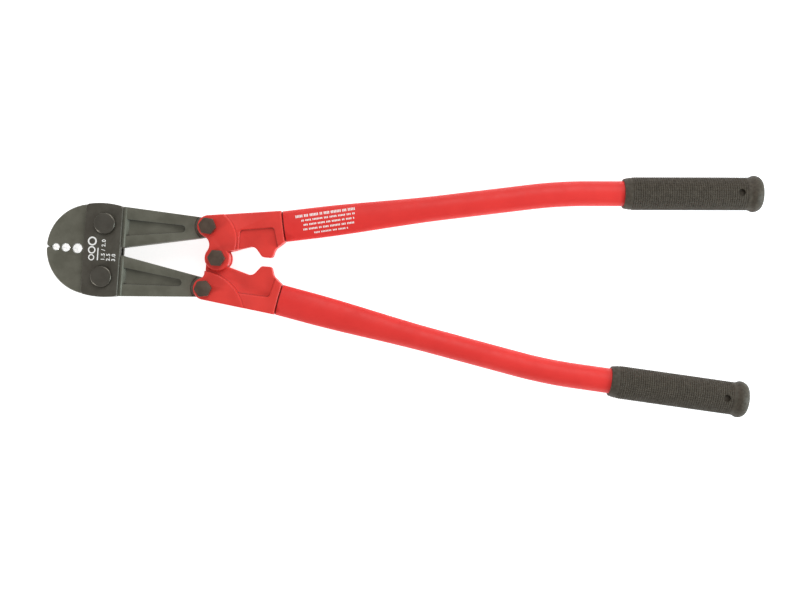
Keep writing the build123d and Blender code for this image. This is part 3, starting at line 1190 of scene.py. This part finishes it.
@dataclass
class SteelHead:
    """Jaws, side plates, cast heads, bolts, nuts, washers and bushes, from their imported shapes."""

    finishes: Finishes
    forging_edge: float = 0.35 * MM
    plate_edge: float = 0.3 * MM
    casting_edge: float = 0.5 * MM
    bolt_edge: float = 0.22 * MM

    def kinds(self) -> list[tuple[str, str, Material, float]]:
        """List the kinds of steel part and casting.

        Returns:
            End of the node names, material slot, material and edge width of each kind.
        """
        look = self.finishes
        return [
            ("side_plate", "plate_steel", look.plate, self.plate_edge),
            ("upper_jaw", "jaw_steel", look.jaw, self.forging_edge),
            ("lower_jaw", "jaw_steel", look.jaw, self.forging_edge),
            ("handle_head", "red_casting", look.casting, self.casting_edge),
            ("jaw_bolt", "bolt_steel", look.round_bolt, self.bolt_edge),
            ("link_bolt", "bolt_steel", look.bolt, self.bolt_edge),
            ("centre_bolt", "bolt_steel", look.bolt, self.bolt_edge),
            ("nut", "bolt_steel", look.bolt, self.bolt_edge),
            ("washer", "bolt_steel", look.bolt, self.bolt_edge),
            ("bush", "bush_steel", look.bush, 0.0),
        ]

    def make(self) -> None:
        """Refine and dress every node of each kind."""
        bodies = frame["record"]["behaviour"]["bodies"]
        for ending, slot, material, edge in self.kinds():
            for body, nodes in bodies.items():
                for node in nodes:
                    if node.endswith(ending):
                        dress(refined_copy(node, edge), body, material, [node])


# --- printed marks


@dataclass
class PlateMarks:
    """Size numbers and three die symbols, printed on the front plate and read along Y."""

    finishes: Finishes
    ink_height: float = 0.06 * MM
    symbol_x: float = -105.9 * MM
    symbol_ys: tuple[float, ...] = (-6.9 * MM, -0.6 * MM, 6.9 * MM)
    symbol_stroke: float = 0.33
    line_xs: tuple[float, ...] = (-100.6 * MM, -96.2 * MM, -91.7 * MM, -87.2 * MM)
    line_start_y: float = -9.0 * MM
    text_weight: float = 0.09 * MM
    rule_length: float = 10.5 * MM
    rule_height: float = 0.9 * MM
    rule_edge: float = 0.02 * MM
    text_height: float = 4.4 * MM
    baseline_share: float = 0.35
    letter_spacing: float = 1.2
    ring_facets: int = 40
    sizes: tuple[str, ...] = ("1.5 / 2.0", "2.5", "3.0")

    def make(self) -> None:
        """Build the numbers and the symbols as one piece on the plate."""
        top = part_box("front_side_plate")[1].z
        parts = [self.rule(self.line_xs[0], top)]
        parts += [self.number(text, x, top) for text, x in zip(self.sizes, self.line_xs[1:])]
        radii = [die["dims"]["r_mm"] * MM for die in DIES]
        parts += [self.ring(radius, y, top) for radius, y in zip(radii, self.symbol_ys)]
        marks = join_pieces(parts, "plate_size_marks")
        dress(marks, "side_plates", self.finishes.ink)

    def number(self, text: str, x: float, top: float) -> Piece:
        """Print one size number.

        Args:
            text: the number.
            x: the middle of the line's height.
            top: height of the plate's face.

        Returns:
            The number as a mesh.
        """
        select_nothing()
        baseline = x + self.text_height * self.baseline_share
        bpy.ops.object.text_add(location=(baseline, self.line_start_y, top))
        line = bpy.context.object
        line.data.body = text
        line.data.size = self.text_height
        line.data.extrude = self.ink_height
        line.data.space_character = self.letter_spacing
        line.data.offset = self.text_weight
        bpy.ops.object.convert(target="MESH")
        line = bpy.context.object
        line.rotation_euler = (0, 0, pi / 2)
        apply_place(line)
        return line

    def rule(self, x: float, top: float) -> Piece:
        """Print the plain rule above the sizes.

        Args:
            x: the rule's middle line.
            top: height of the plate's face.

        Returns:
            The rule as a mesh.
        """
        select_nothing()
        middle = self.line_start_y + self.rule_length / 2
        bpy.ops.mesh.primitive_cube_add(size=1.0, location=(x, middle, top))
        rule = bpy.context.object
        rule.scale = (self.rule_height, self.rule_length, 2 * self.ink_height)
        apply_place(rule)
        ease_edges(rule, self.rule_edge, segments=1)
        return rule

    def ring(self, radius: float, y: float, top: float) -> Piece:
        """Print one die symbol, a ring of the die's own size.

        Args:
            radius: the die's radius.
            y: the ring's centre along the line.
            top: height of the plate's face.

        Returns:
            The ring as a mesh.
        """
        select_nothing()
        bpy.ops.mesh.primitive_circle_add(
            vertices=self.ring_facets,
            radius=radius,
            fill_type="NGON",
            location=(self.symbol_x, y, top - self.ink_height),
        )
        ring = bpy.context.object
        apply_place(ring)
        with editing(ring, selection="SELECT"):
            bpy.ops.mesh.inset(thickness=radius * self.symbol_stroke)
            bpy.ops.mesh.delete(type="FACE")
        with editing(ring, selection="SELECT"):
            extrude_by((0, 0, 2 * self.ink_height))
        face_outwards(ring)
        return ring


@dataclass(frozen=True)
class PrintRow:
    """One row of print, in millimetres: distance from the tube's axis, ends along it, height."""

    offset: float
    start: float
    end: float
    height: float


@dataclass
class TubeMarks:
    """Five rows of plain blocks printed along the upper tube, wrapped onto its curve.

    The rows' and blocks' sizes are in millimetres.
    """

    finishes: Finishes
    tube: HandleTube
    centre_at: float = 38.0 * MM
    turn: float = 1.2
    rows: tuple[PrintRow, ...] = (
        PrintRow(offset=7.2, start=12.0, end=64.5, height=2.3),
        PrintRow(offset=3.1, start=16.5, end=62.5, height=1.5),
        PrintRow(offset=-0.7, start=18.0, end=61.5, height=1.5),
        PrintRow(offset=-4.5, start=17.2, end=63.0, height=1.5),
        PrintRow(offset=-8.2, start=26.0, end=55.5, height=1.3),
    )
    word_blocks: tuple[int, ...] = (5, 3, 6, 2, 4, 7, 3, 5)
    words_apart: int = 3
    block_length: float = 0.85
    block_gap: float = 0.42
    word_gap: float = 1.0
    ink_height: float = 0.05 * MM
    layout_height: float = 20.0 * MM

    def blocks(self, row: PrintRow, group: int) -> list[tuple[float, float]]:
        """Start and end, in millimetres along the tube, of each block of a row.

        Args:
            row: the row's sizes.
            group: which of the word lengths the row starts with.

        Returns:
            Spans of the blocks, in groups parted by wider gaps.
        """
        place, last = row.start, row.end - self.block_length
        spans = []
        while place < last:
            for _ in range(self.word_blocks[group % len(self.word_blocks)]):
                if place < last:
                    spans.append((place, place + self.block_length))
                    place += self.block_length + self.block_gap
            place += self.word_gap
            group += 1
        return spans

    def block(self, start: float, stop: float, row: PrintRow) -> Piece:
        """Lay out one block flat above the tube, in the tube's own frame.

        Args:
            start: start along the tube, in millimetres.
            stop: end along the tube, in millimetres.
            row: the row that it belongs to.

        Returns:
            The block, cut into strips that can follow the curve.
        """
        select_nothing()
        middle = (start + stop) / 2 * MM - self.centre_at
        place = (middle, row.offset * MM, self.layout_height)
        bpy.ops.mesh.primitive_plane_add(size=1.0, location=place)
        block = bpy.context.object
        block.scale = ((stop - start) * MM, row.height * MM, 1)
        apply_place(block)
        with editing(block, selection="SELECT"):
            bpy.ops.mesh.subdivide(number_cuts=1)
        return block

    def make(self, surface: Piece) -> None:
        """Lay out the rows, drop them onto the tube and thicken them.

        Args:
            surface: the finished tube.
        """
        parts = [
            self.block(start, stop, row)
            for count, row in enumerate(self.rows)
            for start, stop in self.blocks(row, count * self.words_apart)
        ]
        marks = join_pieces(parts, "upper_tube_marks")
        slope = radians(self.tube.slope)
        centre_x = self.tube.start[0] + self.centre_at * cos(slope)
        centre_y = self.tube.start[1] + self.centre_at * sin(slope)
        lay_in_place(marks, Side.UPPER, (centre_x, centre_y), self.tube.slope + self.turn)
        wrap = marks.modifiers.new("wrap", "SHRINKWRAP")
        wrap.target = surface
        wrap.wrap_method = "PROJECT"
        wrap.use_project_z = True
        wrap.use_negative_direction = True
        wrap.use_positive_direction = False
        wrap.offset = self.ink_height
        bpy.ops.object.modifier_apply(modifier=wrap.name)
        thicken = marks.modifiers.new("thicken", "SOLIDIFY")
        thicken.thickness = self.ink_height
        thicken.offset = -1.0
        bpy.ops.object.modifier_apply(modifier=thicken.name)
        dress(marks, "upper_handle", self.finishes.ink)


# --- studio


@dataclass(frozen=True)
class SoftLight:
    """A square light aimed at the middle of the tool: place and side in metres, power in watts."""

    name: str
    place: Sequence[float]
    size: float
    power: float
    colour: Colour = (1.0, 1.0, 1.0)

    def hang(self, target: Vector) -> None:
        """Hang the light and aim it.

        Args:
            target: the point that it faces.
        """
        bpy.ops.object.light_add(type="AREA", location=self.place)
        light = bpy.context.object
        light.name = self.name
        light.data.size = self.size
        light.data.energy = self.power
        light.data.color = self.colour
        light.rotation_euler = (target - light.location).to_track_quat("-Z", "Y").to_euler()


@dataclass
class Studio:
    """Pale floor, a broad key light, two low edge lights and the camera above the tool."""

    lights: tuple[SoftLight, ...] = (
        SoftLight("key_light", (0.45, 1.1, 1.15), size=1.0, power=12.0),
        SoftLight("left_light", (-0.95, -0.65, 0.45), size=0.3, power=5.0),
        SoftLight("right_light", (1.15, -0.15, 0.38), 0.45, 8.0, colour=(0.8, 0.95, 1.0)),
    )
    floor_size: float = 12.0
    floor_colour: Colour = (0.72, 0.72, 0.72)
    floor_glow: float = 0.8
    world_strength: float = 0.45
    camera_xy: tuple[float, float] = (157.8 * MM, -24.25 * MM)
    camera_height: float = 955.0 * MM
    camera_turn: float = 4.12
    lens: float = 50.0
    sensor_width: float = 36.0

    def make(self) -> None:
        """Lay the floor, hang the lights, and add the world and the camera."""
        self.lay_floor()
        for light in self.lights:
            light.hang(Vector((self.camera_xy[0], 0, 0)))
        self.light_world()
        self.place_camera()

    def lay_floor(self) -> None:
        """Lay a wide plain floor under the tool."""
        select_nothing()
        place = (self.camera_xy[0], 0, CAD_BOX[0].z)
        bpy.ops.mesh.primitive_plane_add(size=self.floor_size, location=place)
        floor = bpy.context.object
        floor.name = "studio_floor"
        wiring = Wiring("studio_floor")
        wiring.set(Roughness=0.9, Specular_IOR_Level=0.1, Emission_Strength=self.floor_glow)
        wiring.shader.inputs["Base Color"].default_value = (*self.floor_colour, 1.0)
        wiring.shader.inputs["Emission Color"].default_value = (1, 1, 1, 1)
        floor.data.materials.append(wiring.material)

    def light_world(self) -> None:
        """Fill the surroundings with even white light."""
        world = bpy.data.worlds.new("studio_world")
        world.use_nodes = True
        background = world.node_tree.nodes["Background"]
        background.inputs["Color"].default_value = (1, 1, 1, 1)
        background.inputs["Strength"].default_value = self.world_strength
        bpy.context.scene.world = world

    def place_camera(self) -> None:
        """Place the camera above the tool, looking straight down."""
        place = (*self.camera_xy, MID_HEIGHT + self.camera_height)
        turn = (0, 0, radians(self.camera_turn))
        bpy.ops.object.camera_add(location=place, rotation=turn)
        camera = bpy.context.object
        camera.data.lens = self.lens
        camera.data.sensor_width = self.sensor_width
        bpy.context.scene.camera = camera
        bpy.context.scene.view_settings.view_transform = "Standard"


def main() -> None:
    """Build the tool's looks, sub-assembly by sub-assembly, and its studio."""
    finishes = Finishes()
    SteelHead(finishes).make()
    for side in Side:
        Handle(side).make(finishes)
    PlateMarks(finishes).make()
    TubeMarks(finishes, HandleTube(Side.UPPER)).make(bpy.data.objects["upper_tube"])
    Studio().make()


if __name__ == "__main__":
    logging.basicConfig(level=logging.INFO, format="%(message)s")
    main()
